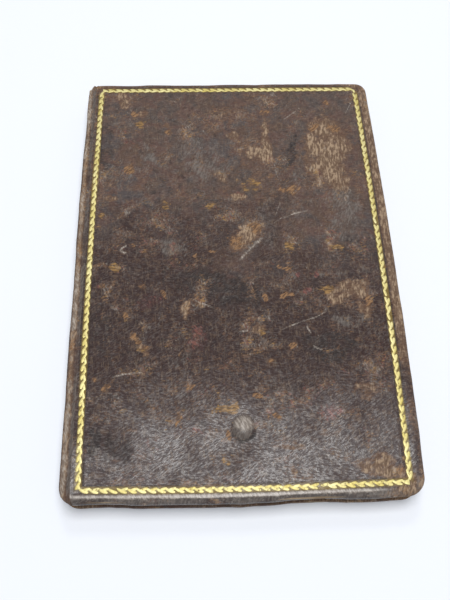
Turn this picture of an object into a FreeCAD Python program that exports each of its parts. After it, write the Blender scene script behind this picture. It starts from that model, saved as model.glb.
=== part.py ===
"""An antique book bound in dark leather, lying closed on its back cover.

Millimetres. +X runs from the spine to the fore-edge, +Y from the tail to the head, +Z up through the
front cover. The origin is under the middle of the book, on the surface it lies on. The spine is flat, with
a rounded ridge along each side. Each cover turns about the centre line of its ridge, where the leather
bends. One skin of leather covers the book: it is drawn as the spine, two joint strips and two covers.
"""

import FreeCAD
import Part
import math
import os

from FreeCAD import Vector

# The whole book
book_width = 132.6
book_height = 191.0
book_thickness = 13.0
fore_edge_bow = 1.5
tail_bow = 1.0
spine_head_corner = 5.0
spine_tail_corner = 6.5
fore_head_corner = 5.0
fore_tail_corner = 7.0

# Leather, boards and paper
leather = 0.8
joint_leather = 0.4
board = 2.0
pastedown = 0.2
ridge_radius = 2.0
turn_in_width = 12.0
turn_in = 0.4
pastedown_margin = 2.5

# Room between the pieces
swing_gap = 0.3
cover_gap = 0.3
board_gap = 0.2
fit_gap = 0.05

# The joint grooves beside the ridges
groove_depth = 0.5

# The text block and its sewing
square = 3.0
lining = 0.4
cord_radius = 0.5
cord_count = 3
cord_end_distance = 30.0
band_radius = 0.7

# The stud under the front cover's leather
stud_base_radius = 4.2
stud_rise = 2.3
stud_from_tail = 26.0
stud_shank_width = 1.7
stud_shank_length = 1.6
stud_slope_changes = 0.6
stud_facets = 12

# The gold border: a braid of leaves on the floor of a pressed channel
border_spine_margin = 7.1
border_fore_margin = 6.0
border_head_margin = 4.2
border_tail_margin = 4.9
border_spine_bow = 0.8
border_fore_bow = 1.2
border_tail_bow = 0.9
channel_width = 2.5
channel_depth = 0.3
leaf_pitch = 3.4
leaf_length = 3.0
leaf_width = 1.05
leaf_widest = 0.1
leaf_thickness = 0.2
leaf_row_offset = 0.62
leaf_slant = 11.0

# Stretches where the gold is worn off: (side, where it starts, where it ends) along that side
worn_gold = [
    ("head", 0.0, 4.0),
    ("head", 111.0, 119.0),
    ("fore", 0.0, 7.0),
    ("fore", 171.0, 182.0),
    ("tail", 0.0, 6.5),
    ("tail", 115.5, 119.0),
    ("spine", 178.5, 182.0),
]

# Worked out from the sizes above
x_spine = -book_width / 2
x_fore = book_width / 2
y_tail = -book_height / 2
y_head = book_height / 2
cover_thickness = leather + board + pastedown
board_inside = leather + board
x_hinge = x_spine + ridge_radius
x_cover = x_hinge + ridge_radius + swing_gap
z_front_hinge = book_thickness - ridge_radius
z_back_hinge = ridge_radius
block_bottom = cover_thickness + cover_gap
block_top = book_thickness - cover_thickness - cover_gap
block_tail = y_tail + tail_bow + square
block_head = y_head - square
block_fore = x_fore - fore_edge_bow - square
block_back = x_spine + leather + lining
stud_place = Vector(0.0, y_tail + stud_from_tail, book_thickness)
far = 2 * (book_width + book_height)


def bowed_face(x0, x1, y0, y1, spine_bow, fore_bow, low_bow):
    """A flat face with a straight head and three sides that swell outwards by their bows."""
    middle_x = (x0 + x1) / 2
    middle_y = (y0 + y1) / 2
    corners = [Vector(x0, y0, 0), Vector(x1, y0, 0), Vector(x1, y1, 0), Vector(x0, y1, 0)]
    middles = [
        Vector(middle_x, y0 - low_bow, 0),
        Vector(x1 + fore_bow, middle_y, 0),
        Vector(middle_x, y1, 0),
        Vector(x0 - spine_bow, middle_y, 0),
    ]
    edges = []
    for k, bow in enumerate((low_bow, fore_bow, 0.0, spine_bow)):
        start, end = corners[k], corners[(k + 1) % 4]
        if bow:
            edges.append(Part.Arc(start, middles[k], end).toShape())
        else:
            edges.append(Part.LineSegment(start, end).toShape())
    return Part.Face(Part.Wire(edges))


def box_between(x0, x1, y0, y1, z0, z1):
    """A box by its lowest and highest corners."""
    return Part.makeBox(x1 - x0, y1 - y0, z1 - z0, Vector(x0, y0, z0))


def round_upright_edges(solid, radii):
    """Rounds the four upright corner edges; radii go spine-tail, fore-tail, fore-head, spine-head."""
    for side_x, side_y, radius in zip((-1, 1, 1, -1), (-1, -1, 1, 1), radii):
        for edge in solid.Edges:
            ends = [v.Point for v in edge.Vertexes]
            upright = len(ends) == 2 and (ends[0] - ends[1]).cross(Vector(0, 0, 1)).Length < 1e-6
            if upright and side_x * ends[0].x > 0 and side_y * ends[0].y > 0:
                solid = solid.makeFillet(radius, [edge])
                break
    return solid


def book_slab(inset, z0, z1):
    """The book's plan, drawn in by inset all round, as a slab between two heights."""
    face = bowed_face(
        x_spine + inset,
        x_fore - fore_edge_bow - inset,
        y_tail + tail_bow + inset,
        y_head - inset,
        0.0,
        fore_edge_bow,
        tail_bow,
    )
    slab = face.extrude(Vector(0, 0, z1 - z0))
    slab.translate(Vector(0, 0, z0))
    corners = (spine_tail_corner, fore_tail_corner, fore_head_corner, spine_head_corner)
    return round_upright_edges(slab, [max(r - inset, 0.3) for r in corners])


def roll_edges(solid, radius, heights):
    """Rounds the outer edges that lie flat at the given heights."""
    edges = []
    for edge in solid.Edges:
        z = [edge.valueAt(edge.FirstParameter).z, edge.valueAt(edge.LastParameter).z]
        if any(abs(z[0] - h) < 1e-6 and abs(z[1] - h) < 1e-6 for h in heights):
            edges.append(edge)
    return solid.makeFillet(radius, edges)


def book_blank():
    """The outside of the closed book, with every outer edge rolled over to the ridge's radius."""
    return roll_edges(book_slab(0.0, 0.0, book_thickness), ridge_radius, (0.0, book_thickness))


def upside_down(shape):
    """The same piece for the back cover: mirrored about the book's middle height."""
    return shape.mirror(Vector(0, 0, book_thickness / 2), Vector(0, 0, 1))


def dome_height(radius, rise, distance):
    """How high a dome of that base radius and rise stands at a distance from its middle."""
    ball = (radius**2 + rise**2) / (2 * rise)
    return rise - ball + math.sqrt(ball**2 - distance**2)


def stud_shank(width, length):
    """The nail's square shank below the board's face, on the stud's place."""
    half = width / 2
    top = book_thickness - leather
    x, y = stud_place.x, stud_place.y
    return box_between(x - half, x + half, y - half, y + half, top - length, top)


def stud_ring(radius, height):
    """A level ring round the stud's head, with one corner for each facet that the hammer left."""
    foot = stud_place + Vector(0, 0, height - leather)
    turns = [2 * math.pi * k / stud_facets for k in range(stud_facets)]
    points = [foot + Vector(radius * math.cos(t), radius * math.sin(t), 0) for t in turns]
    return Part.makePolygon(points + points[:1])


def make_stud():
    """A forged nail: its faceted dome of a head lies on the board and its shank goes into the board."""
    radius = stud_base_radius - leather
    rise = stud_rise - fit_gap
    shoulder = stud_slope_changes * radius
    shoulder_ring = stud_ring(shoulder, dome_height(radius, rise, shoulder))
    tip = Part.Vertex(stud_place + Vector(0, 0, rise - leather))
    skirt = Part.makeLoft([stud_ring(radius, 0.0), shoulder_ring], True, True)
    crown = Part.makeLoft([shoulder_ring, tip], True, True)
    return skirt.fuse(crown).fuse(stud_shank(stud_shank_width, stud_shank_length)).removeSplitter()


def stud_hole():
    """The hole in the board for the stud's shank."""
    return stud_shank(stud_shank_width + 2 * fit_gap, stud_shank_length + fit_gap)


def cover_side():
    """Everything on the fore-edge side of the line where a cover starts to be stiff."""
    return box_between(x_cover, far, -far, far, -far, far)


def inside_turn_ins(z0, z1):
    """The part of the board's inner face that the turned-in leather leaves bare, as a slab."""
    drawn_in = leather + turn_in_width
    face = bowed_face(
        x_spine,
        x_fore - fore_edge_bow - drawn_in,
        y_tail + tail_bow + drawn_in,
        y_head - drawn_in,
        0.0,
        fore_edge_bow,
        tail_bow,
    )
    slab = face.extrude(Vector(0, 0, z1 - z0))
    slab.translate(Vector(0, 0, z0))
    return slab


def make_front_board():
    """The square-edged pasteboard, rebated inside for the turn-ins."""
    inside = book_thickness - board_inside
    body = book_slab(leather, inside, book_thickness - leather)
    body = body.common(box_between(x_cover + board_gap, far, -far, far, -far, far))
    rebate = book_slab(0.0, inside, inside + turn_in).cut(inside_turn_ins(inside, inside + turn_in))
    return body.cut(rebate)


def border_face(offset):
    """The gold border's centre line as a face, grown by offset all round."""
    return bowed_face(
        x_spine + border_spine_margin - offset,
        x_fore - border_fore_margin - border_fore_bow + offset,
        y_tail + border_tail_margin + border_tail_bow - offset,
        y_head - border_head_margin + offset,
        border_spine_bow,
        border_fore_bow,
        border_tail_bow,
    )


def border_channel():
    """The shallow channel that the heated roll pressed into the leather."""
    ring = border_face(channel_width / 2).cut(border_face(-channel_width / 2))
    channel = ring.extrude(Vector(0, 0, channel_depth + 1.0))
    channel.translate(Vector(0, 0, book_thickness - channel_depth))
    return channel


def make_cover_leather(blank, stiff_board):
    """The leather on one cover: over the board, round its edges and turned in on its inside."""
    inside = book_thickness - board_inside
    upper = box_between(-far, far, -far, far, inside, far)
    without_gap = box_between(x_cover, x_cover + board_gap, -far, far, inside, book_thickness - leather)
    return blank.common(upper).common(cover_side()).cut(stiff_board).cut(without_gap)


def make_front_cover_leather(blank, stiff_board, stud):
    """The front cover's leather, with the dome over the stud and the border's channel."""
    ball = (stud_base_radius**2 + stud_rise**2) / (2 * stud_rise)
    above = box_between(-far, far, -far, far, book_thickness - leather / 2, far)
    dome = Part.makeSphere(ball, stud_place + Vector(0, 0, stud_rise - ball)).common(above)
    skin = make_cover_leather(blank, stiff_board).fuse(dome)
    return skin.cut(stud).cut(border_channel()).removeSplitter()


def make_pastedown():
    """The endpaper pasted over the turn-ins on the inside of the front board."""
    inside = book_thickness - cover_thickness
    return book_slab(pastedown_margin, inside, inside + pastedown).common(cover_side())


def make_joint_strip(blank):
    """The front joint: thinned leather that dips into a groove and bends when the cover opens."""
    middle = (x_hinge + x_cover) / 2
    half = (x_cover - x_hinge) / 2 - fit_gap
    radius = (half**2 + groove_depth**2) / (2 * groove_depth)
    foot = Vector(middle, 2 * y_tail, book_thickness - groove_depth + radius)
    groove = Part.makeCylinder(radius, 4 * y_head, foot, Vector(0, 1, 0))
    underside = Part.makeCylinder(radius + joint_leather, 4 * y_head, foot, Vector(0, 1, 0))
    strip = blank.common(box_between(x_hinge, x_cover, -far, far, z_front_hinge, far))
    return strip.common(underside).cut(groove)


def ridge_profile(radius, flat_x, step_x):
    """The section of what lies under the spine leather, from ridge to ridge, as a face."""
    top, bottom = z_front_hinge, z_back_hinge
    right = x_hinge + radius
    left = x_hinge - radius
    edges = [
        Part.Arc(Vector(left, 0, top), Vector(x_hinge, 0, top + radius), Vector(right, 0, top)),
        Part.LineSegment(Vector(right, 0, top), Vector(right, 0, block_top)),
        Part.LineSegment(Vector(right, 0, block_top), Vector(flat_x, 0, block_top)),
        Part.LineSegment(Vector(flat_x, 0, block_top), Vector(flat_x, 0, block_bottom)),
        Part.LineSegment(Vector(flat_x, 0, block_bottom), Vector(right, 0, block_bottom)),
        Part.LineSegment(Vector(right, 0, block_bottom), Vector(right, 0, bottom)),
        Part.Arc(Vector(right, 0, bottom), Vector(x_hinge, 0, bottom - radius), Vector(left, 0, bottom)),
    ]
    if abs(step_x - left) > 1e-6:
        edges += [
            Part.LineSegment(Vector(left, 0, bottom), Vector(step_x, 0, bottom)),
            Part.LineSegment(Vector(step_x, 0, bottom), Vector(step_x, 0, top)),
            Part.LineSegment(Vector(step_x, 0, top), Vector(left, 0, top)),
        ]
    else:
        edges.append(Part.LineSegment(Vector(left, 0, bottom), Vector(left, 0, top)))
    return Part.Face(Part.Wire([edge.toShape() for edge in edges]))


def along_book(face, y0, y1):
    """A section in the XZ plane, carried along the book from y0 to y1."""
    solid = face.extrude(Vector(0, y1 - y0, 0))
    solid.translate(Vector(0, y0, 0))
    return solid


def make_spine_leather(blank):
    """The leather on the spine, solid at head and tail where it is turned in as a cap."""
    spine = blank.common(box_between(-far, x_hinge, -far, far, -far, far))
    radius = ridge_radius - leather
    hollow = ridge_profile(radius, block_fore, x_hinge - radius)
    return spine.cut(along_book(hollow, block_tail - fit_gap, block_head + fit_gap))


def cord_places():
    """Where the sewing cords cross the spine, along the book."""
    first, last = block_tail + cord_end_distance, block_head - cord_end_distance
    return [first + k * (last - first) / (cord_count - 1) for k in range(cord_count)]


def make_text_block():
    """All the pages as one block, its back shouldered under the ridges and sawn for the cords."""
    profile = ridge_profile(ridge_radius - leather - fit_gap, block_fore, block_back)
    block = along_book(profile, block_tail, block_head)
    width = 2 * (cord_radius + fit_gap)
    for y in cord_places():
        kerf = box_between(
            block_back, block_back + width, y - width / 2, y + width / 2, z_back_hinge, z_front_hinge
        )
        block = block.cut(kerf)
    return block


def make_spine_lining():
    """The strip of lining pasted on the back of the sewn pages."""
    low, high = z_back_hinge + fit_gap, z_front_hinge - fit_gap
    return box_between(block_back - lining, block_back, block_tail, block_head, low, high)


def make_sewing_cords():
    """Hemp cords sunk in the saw cuts across the back."""
    length = z_front_hinge - z_back_hinge - 2 * fit_gap
    cords = []
    for y in cord_places():
        foot = Vector(block_back + cord_radius, y, z_back_hinge + fit_gap)
        cords.append(Part.makeCylinder(cord_radius, length, foot))
    return Part.makeCompound(cords)


def make_band(edge_y, outwards):
    """A silk band sewn over a core, on the block's edge beside the spine."""
    y = edge_y + outwards * (band_radius + fit_gap)
    foot = Vector(x_hinge + fit_gap + band_radius, y, block_bottom)
    return Part.makeCylinder(band_radius, block_top - block_bottom, foot)


def border_sides():
    """The border's four sides: name, start corner, direction of travel, outward direction and bow."""
    x0 = x_spine + border_spine_margin
    x1 = x_fore - border_fore_margin - border_fore_bow
    y0 = y_tail + border_tail_margin + border_tail_bow
    y1 = y_head - border_head_margin
    return [
        ("tail", Vector(x0, y0, 0), Vector(x1, y0, 0), Vector(0, -1, 0), border_tail_bow),
        ("fore", Vector(x1, y0, 0), Vector(x1, y1, 0), Vector(1, 0, 0), border_fore_bow),
        ("head", Vector(x1, y1, 0), Vector(x0, y1, 0), Vector(0, 1, 0), 0.0),
        ("spine", Vector(x0, y1, 0), Vector(x0, y0, 0), Vector(-1, 0, 0), border_spine_bow),
    ]


def leaf(centre, along, outward, slant):
    """One leaf of the braid: a kite of gold, turned by slant from the border's line."""
    c, s = math.cos(math.radians(slant)), math.sin(math.radians(slant))
    lengthways = along * c + outward * s
    crossways = outward * c - along * s
    half, wide = leaf_length / 2, leaf_width / 2
    widest = leaf_widest * leaf_length
    shape = [(-half, 0), (widest, wide), (half, 0), (widest, -wide)]
    points = [centre + lengthways * u + crossways * v for u, v in shape]
    return Part.Face(Part.makePolygon(points + points[:1])).extrude(Vector(0, 0, leaf_thickness))


def is_worn(side, place):
    """Whether the gold is rubbed away at this place along a side."""
    return any(name == side and low <= place <= high for name, low, high in worn_gold)


def make_gold_tooling():
    """The braid: two rows of leaves, half a pitch apart, that slant towards each other."""
    floor = Vector(0, 0, book_thickness - channel_depth)
    leaves = []
    for name, start, end, outward, bow in border_sides():
        length = (end - start).Length
        along = (end - start) / length
        count = round((length - channel_width) / leaf_pitch)
        pitch = (length - channel_width) / count
        for k in range(count):
            for row, shift in ((1, 0.25), (-1, 0.75)):
                place = channel_width / 2 + (k + shift) * pitch
                if is_worn(name, place):
                    continue
                swell = bow * (1 - (2 * place / length - 1) ** 2)
                centre = start + along * place + outward * (swell + row * leaf_row_offset) + floor
                leaves.append(leaf(centre, along, outward, -row * leaf_slant))
    return Part.makeCompound(leaves)


def make_book():
    """Every piece of the book by name."""
    blank = book_blank()
    stud = make_stud()
    plain_board = make_front_board()
    front_board = plain_board.cut(stud_hole())
    pasted = make_pastedown()
    joint = make_joint_strip(blank)
    return {
        "text_block": make_text_block(),
        "spine_lining": make_spine_lining(),
        "sewing_cords": make_sewing_cords(),
        "headband": make_band(block_head, 1),
        "tailband": make_band(block_tail, -1),
        "spine_leather": make_spine_leather(blank),
        "front_joint_leather": joint,
        "back_joint_leather": upside_down(joint),
        "front_board": front_board,
        "back_board": upside_down(plain_board),
        "front_cover_leather": make_front_cover_leather(blank, plain_board, stud),
        "back_cover_leather": upside_down(make_cover_leather(blank, plain_board)),
        "front_pastedown": pasted,
        "back_pastedown": upside_down(pasted),
        "cover_stud": stud,
        "gold_tooling": make_gold_tooling(),
    }


os.makedirs("parts", exist_ok=True)
for node, shape in make_book().items():
    shape.exportStep("parts/" + node + ".step")
    volume = sum(solid.Volume for solid in shape.Solids)
    print(node, len(shape.Solids), "solids", round(volume, 1), "mm3", shape.isValid())
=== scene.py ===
# %% [markdown]
# # An antique leather book
# The book lies closed on its back cover. Its construction comes from a imported CAD model, and this lesson
# gives it its looks. We work in millimetres inside numpy and turn the numbers to metres only when a mesh
# is made. The leather is one skin on the real book. Here it is cut where the covers turn; the pieces of the
# covers and the spine follow their own bodies, and the joints' pieces stay where they are laid.

import math

import bpy
import numpy as np
from mathutils import Matrix, Vector


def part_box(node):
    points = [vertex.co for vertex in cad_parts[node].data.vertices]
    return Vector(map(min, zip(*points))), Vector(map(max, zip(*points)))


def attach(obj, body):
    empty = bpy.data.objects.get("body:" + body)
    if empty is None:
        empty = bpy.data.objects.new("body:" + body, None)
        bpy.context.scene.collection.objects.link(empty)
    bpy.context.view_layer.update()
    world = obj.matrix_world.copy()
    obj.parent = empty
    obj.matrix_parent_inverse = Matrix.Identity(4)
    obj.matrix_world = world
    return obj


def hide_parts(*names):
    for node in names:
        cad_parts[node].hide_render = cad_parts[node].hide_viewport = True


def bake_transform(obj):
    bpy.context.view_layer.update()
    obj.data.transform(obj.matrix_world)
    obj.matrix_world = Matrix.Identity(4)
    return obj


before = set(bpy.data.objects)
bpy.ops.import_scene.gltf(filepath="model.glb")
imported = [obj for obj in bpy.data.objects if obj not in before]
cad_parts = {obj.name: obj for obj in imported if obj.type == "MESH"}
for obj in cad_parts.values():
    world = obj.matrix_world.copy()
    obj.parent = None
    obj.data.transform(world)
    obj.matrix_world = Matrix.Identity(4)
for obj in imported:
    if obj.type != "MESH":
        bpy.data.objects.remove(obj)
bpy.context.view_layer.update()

# %% [markdown]
# ## Sizes
# Every place below is taken from the boxes of the CAD pieces, so the skin lies where the leather does.
# A few sizes of the finish are named here too: how tightly the leather rolls over the board's edge and
# how far it is turned in on the inside.

# %% Sizes in millimetres
MM = 0.001


def box_mm(node):
    """Lowest and highest corner of a CAD node in millimetres."""
    low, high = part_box(node)
    return np.array(low) / MM, np.array(high) / MM


spine_low, spine_high = box_mm("spine_leather")
cover_low, cover_high = box_mm("front_cover_leather")
board_low = box_mm("front_board")[0]
block_low, block_high = box_mm("text_block")
pastedown_low, pastedown_high = box_mm("front_pastedown")
stud_low, stud_high = box_mm("cover_stud")

thickness = spine_high[2]
x_spine = spine_low[0]
x_hinge = spine_high[0]
x_cover = cover_low[0]
fore_bow = 1.5
tail_bow = 1.0
x_fore = -x_spine - fore_bow
y_head = round(cover_high[1], 1)
y_tail = tail_bow - y_head
roll = x_hinge - x_spine
cover_inside = board_low[2]
cover_depth = thickness - cover_inside
corner = {"fore_head": 5.0, "fore_tail": 7.0, "spine_head": 7.0, "spine_tail": 6.5}
stud_x, stud_y = (stud_low[:2] + stud_high[:2]) / 2
dome_radius = 4.2
dome_rise = 2.1
ramp_reach = 6.4
print("the stud stands", round(float(stud_high[2] - thickness), 2), "mm over the cover under its leather")
print("book", 2 * -x_spine, "x", 2 * y_head, "x", round(thickness, 2), "mm")

# %% [markdown]
# ## The camera
# The photo looks down on the front cover from the tail side, about 65 degrees above the table. A fit of a
# pinhole camera to the four corners of the gilt border gave the lens, the place and the turn. The border's
# width is the unit of that fit, so the camera follows the book's real size.

# %% Camera
image_width, image_height = 450, 600
focal_pixels = 650.0
border_width = 118.2
border_middle = np.array([0.1, 1.0, thickness])
camera_offset = np.array([-0.117, -1.065, 2.003])
camera_place = border_middle + camera_offset * border_width
look = np.array([0.033, 0.414, -0.910])
camera_roll = -3.10


def camera_axes(direction, turn_degrees):
    """Right, down and forward of a camera: level first, then turned about its line of sight."""
    forward = direction / np.linalg.norm(direction)
    right = np.cross(forward, [0.0, 0.0, 1.0])
    right /= np.linalg.norm(right)
    down = np.cross(forward, right)
    c, s = math.cos(math.radians(turn_degrees)), math.sin(math.radians(turn_degrees))
    return np.array([c * right + s * down, c * down - s * right, forward])


axes = camera_axes(look, camera_roll)
camera_data = bpy.data.cameras.new("camera")
camera_data.sensor_width = 36.0
camera_data.lens = focal_pixels * camera_data.sensor_width / image_height
camera = bpy.data.objects.new("camera", camera_data)
bpy.context.scene.collection.objects.link(camera)
camera.matrix_world = Matrix.Translation(Vector(camera_place * MM)) @ Matrix(
    np.array([axes[0], -axes[1], -axes[2]]).T.tolist()
).to_4x4()
bpy.context.scene.camera = camera


def to_photo(points):
    """The pixel of the 450 by 600 photo at which the camera sees each point, in millimetres."""
    seen = (np.asarray(points, float) - camera_place) @ axes.T
    return np.stack(
        [
            image_width / 2 + focal_pixels * seen[..., 0] / seen[..., 2],
            image_height / 2 + focal_pixels * seen[..., 1] / seen[..., 2],
        ],
        -1,
    )


for name, place in {
    "spine head": (x_spine, y_head, thickness),
    "fore head": (x_fore, y_head, thickness),
    "fore tail": (x_fore, y_tail, thickness),
    "spine tail": (x_spine, y_tail, thickness),
}.items():
    print(name, "corner is seen at pixel", to_photo(place).round(1))

# %% [markdown]
# ## Helpers
# A surface is a grid of points: rows and columns of places in space. One function turns such a grid into a
# mesh. Another makes clouds, which are smooth random fields, for everything that is uneven on old leather.

# %% Grid surfaces and clouds


def smooth(value):
    """0 below 0, 1 above 1, and an S-shaped curve between: 3t^2 - 2t^3."""
    t = np.clip(value, 0.0, 1.0)
    return t * t * (3 - 2 * t)


def cloud(x, y, size, seed, octaves=4, gain=0.55):
    """Smooth noise, about -1 to 1: random values on a square lattice of that size in mm, joined by an
    S-shaped curve, plus the same at half the size and gain times the height, and so on."""
    total, height, most = np.zeros(np.broadcast(x, y).shape), 1.0, 0.0
    for octave in range(octaves):
        lattice = np.random.default_rng(seed * 101 + octave).uniform(-1, 1, (256, 256))
        u = np.asarray(x) / size * 2**octave + 77.3 * octave
        v = np.asarray(y) / size * 2**octave + 31.7 * octave
        column, row = np.floor(u).astype(int), np.floor(v).astype(int)
        a, b = smooth(u - column), smooth(v - row)
        left = lattice[row % 256, column % 256] * (1 - b) + lattice[(row + 1) % 256, column % 256] * b
        right = (
            lattice[row % 256, (column + 1) % 256] * (1 - b)
            + lattice[(row + 1) % 256, (column + 1) % 256] * b
        )
        total = total + height * (left * (1 - a) + right * a)
        most += height
        height *= gain
    return total / most * 1.6


def grid_quads(rows, columns):
    """The four corners of each cell of a grid whose points are numbered row by row."""
    index = np.arange(rows * columns).reshape(rows, columns)
    return np.stack([index[:-1, :-1], index[:-1, 1:], index[1:, 1:], index[1:, :-1]], -1).reshape(-1, 4)


def mesh_piece(name, points, quads):
    """A smooth mesh object from places in mm and the four corners of each face."""
    mesh = bpy.data.meshes.new(name)
    mesh.from_pydata((points.reshape(-1, 3) * MM).tolist(), [], quads.tolist())
    mesh.shade_smooth()
    piece = bpy.data.objects.new(name, mesh)
    bpy.context.scene.collection.objects.link(piece)
    print(name, len(quads) * 2, "triangles")
    return piece


def grid_piece(name, points, outward_up=True):
    """A mesh object from rows x columns x 3 places in mm, with a quad in each cell."""
    quads = grid_quads(*points.shape[:2])
    return mesh_piece(name, points, quads if outward_up else quads[:, ::-1])


def add_field(piece, name, values):
    """Stores one number per vertex, for a material to read."""
    field = piece.data.attributes.new(name, "FLOAT", "POINT")
    field.data.foreach_set("value", np.ascontiguousarray(values, np.float32).ravel())


def grid_normals(points):
    """Unit normals of a grid: the cross product of its column and row directions."""
    across = np.gradient(points, axis=1)
    along = np.gradient(points, axis=0)
    normal = np.cross(across, along)
    return normal / np.maximum(np.linalg.norm(normal, axis=-1, keepdims=True), 1e-9)


# %% [markdown]
# ## How the leather goes over an edge
# A binder rolls damp leather over the board's edge and turns it in on the inside. In section that is a
# straight lead, a large quarter circle, a short side, a small quarter circle and the turn-in. The same
# section with a tighter fold serves the spine, where leather is doubled at head and tail.

# %% The edge's section
under_roll = (cover_depth - roll) / 2
board_edge = {"lead": 0.0, "top": roll, "side": under_roll, "low": under_roll, "inward": 4.0}
spine_edge = {"lead": roll - 0.6, "top": 0.6, "side": 0.0, "low": 0.6, "inward": 3.0}


def edge_length(edge):
    """Length of an edge's section: its straights plus its two quarter circles."""
    return edge["lead"] + edge["side"] + edge["inward"] + (edge["top"] + edge["low"]) * math.pi / 2


def edge_section(share, edge):
    """(outwards, downwards) in mm at a share from 0 to 1 of the section. Outwards is counted from the
    outline, so it starts at minus the roll and is 0 on the side."""
    far = np.asarray(share, float) * edge_length(edge)
    lead = np.clip(far, 0, edge["lead"])
    far = far - edge["lead"]
    top = np.clip(far, 0, edge["top"] * math.pi / 2) / edge["top"]
    far = far - edge["top"] * math.pi / 2
    side = np.clip(far, 0, edge["side"])
    far = far - edge["side"]
    low = np.clip(far, 0, edge["low"] * math.pi / 2) / edge["low"]
    inward = np.clip(far - edge["low"] * math.pi / 2, 0, None)
    out = -roll + lead + edge["top"] * np.sin(top) - edge["low"] * (1 - np.cos(low)) - inward
    down = edge["top"] * (1 - np.cos(top)) + side + edge["low"] * np.sin(low)
    return out, down


# %% [markdown]
# ## The outline
# The plan of the book is a rectangle whose tail and fore-edge swell a little. The corners of the boards are
# rounded while the grid is laid. At the spine's ends the corner is rounded afterwards, by pressing a square
# of the plan into a quarter of a disc.

# %% Outline warps


def disc_from_square(a, b):
    """Presses the unit square into a quarter disc: (a sqrt(1 - b^2/2), b sqrt(1 - a^2/2))."""
    return a * np.sqrt(1 - b * b / 2), b * np.sqrt(1 - a * a / 2)


def round_spine_corners(x, y):
    """Rounds the plan's two corners on the spine side."""
    for name, edge_y, way in (("spine_head", y_head, 1), ("spine_tail", y_tail, -1)):
        radius = corner[name]
        middle_x, middle_y = x_spine + radius, edge_y - way * radius
        a = (middle_x - x) / radius
        b = (y - middle_y) * way / radius
        inside = (a > 0) & (b > 0)
        a2, b2 = disc_from_square(np.clip(a, 0, 1), np.clip(b, 0, 1))
        x = np.where(inside, middle_x - a2 * radius, x)
        y = np.where(inside, middle_y + way * b2 * radius, y)
    return x, y


# Where the tail's edge is pulled in: middle along X, half its length and how far, in mm
tail_dents = [(24.0, 13.0, 0.9), (-50.0, 9.0, 0.5)]


def swell(x, y):
    """Swells the fore-edge and the tail outwards by their bows, draws the ridge in towards the head, and
    makes every edge a little uneven."""
    share_x, share_y = x / -x_spine, y / y_head
    to_fore = np.clip(share_x, 0, 1) ** 2
    to_tail = np.clip(-share_y, 0, 1) ** 2
    near_x = smooth((np.abs(share_x) - 0.95) / 0.05)
    near_y = smooth((np.abs(share_y) - 0.95) / 0.05)
    near_spine = smooth((x_cover + 1.0 - x) / (x_cover + 1.0 - x_spine))
    x2 = x + fore_bow * to_fore * (1 - np.clip(share_y, -1, 1) ** 2)
    x2 = x2 + 0.22 * cloud(y, np.sign(x) * 50, 14.0, 3, 3) * near_x + 0.7 * near_spine * smooth((y - 20) / 75)
    y2 = y - tail_bow * to_tail * (1 - np.clip(share_x, -1, 1) ** 2)
    for middle, half, depth in tail_dents:
        y2 = y2 + depth * np.exp(-(((x - middle) / half) ** 2)) * near_y * (y < 0)
    y2 = y2 + 0.25 * cloud(x, np.sign(y) * 70, 12.0, 4, 3) * near_y * smooth((x - x_spine - 4) / 12)
    return x2, y2


# %% [markdown]
# ## The front cover's leather
# The grid is the leather laid flat. Near the edges it is wider than the cover, and the extra width rolls
# over the board's edge, as the real skin does. The relief comes last: softened edges, the channel that the
# gold sits in, the dome over the stud, creases and dents.

# %% Lay a skin over a cover
fine_step = 0.55


def laid_rows(step):
    """Places along the flat leather from tail to head."""
    flat_tail, flat_head = y_tail + roll, y_head - roll
    reach = edge_length(board_edge)
    count = int(round((flat_head - flat_tail + 2 * reach) / step))
    return np.linspace(flat_tail - reach, flat_head + reach, count)


def cover_surface(step):
    """The outside of a cover as a grid in the front cover's place, and how far each point has gone down
    the edge. Columns run from the joint to the fore-edge, rows from tail to head."""
    reach = edge_length(board_edge)
    v = laid_rows(step)
    u = np.linspace(x_cover, x_fore - roll + reach, int(round((x_fore - roll + reach - x_cover) / step)))
    u, v = np.meshgrid(u, v)
    head = v > 0
    edge_y = np.where(head, y_head, -y_tail)
    radius = np.where(head, corner["fore_head"], corner["fore_tail"])
    middle_x, middle_y = x_fore - radius, edge_y - radius
    size = radius - roll + reach
    a = np.clip((u - middle_x) / size, 0, 1)
    b = np.clip((np.abs(v) - middle_y) / size, 0, 1)
    in_corner = (a > 0) & (b > 0)
    a2, b2 = disc_from_square(a, b)
    distance = np.hypot(a2, b2)
    safe = np.where(distance > 0, distance, 1.0)
    share = (distance * size - (radius - roll)) / reach
    out, down = edge_section(share, board_edge)
    inner = np.minimum(distance * size, radius - roll) - (radius - roll)
    reach_out = radius + np.where(share > 0, out, inner - roll)
    corner_x = middle_x + a2 / safe * reach_out
    corner_y = middle_y + b2 / safe * reach_out
    share_x = (u - (x_fore - roll)) / reach
    share_y = (np.abs(v) - (edge_y - roll)) / reach
    out_x, down_x = edge_section(share_x, board_edge)
    out_y, down_y = edge_section(share_y, board_edge)
    x = np.where(in_corner, corner_x, np.where(share_x > 0, x_fore + out_x, u))
    y = np.where(in_corner, corner_y, np.where(share_y > 0, edge_y + out_y, np.abs(v)))
    y = np.where(head, y, -y)
    drop = np.where(in_corner, np.where(share > 0, down, 0), down_x + down_y)
    return x, y, drop


x, y, drop = cover_surface(fine_step)
print("front cover grid", x.shape, "deepest point of the edge", round(float(drop.max()), 2), "mm down")

# %% [markdown]
# ## Relief of the front cover
# Heights are fractions of a millimetre, because leather over a board is nearly flat. The channel is as deep
# as the hot roll pressed it. The crease near the tail's edge is where the leather pulls over the board.

# %% Relief
border_left, border_right = -59.2, 59.1
border_tail, border_head = -89.7, 91.3
border_bows = {"spine": 0.8, "fore": 1.2, "tail": 0.9}
channel_half = 1.4
channel_depth = 0.3


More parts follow.
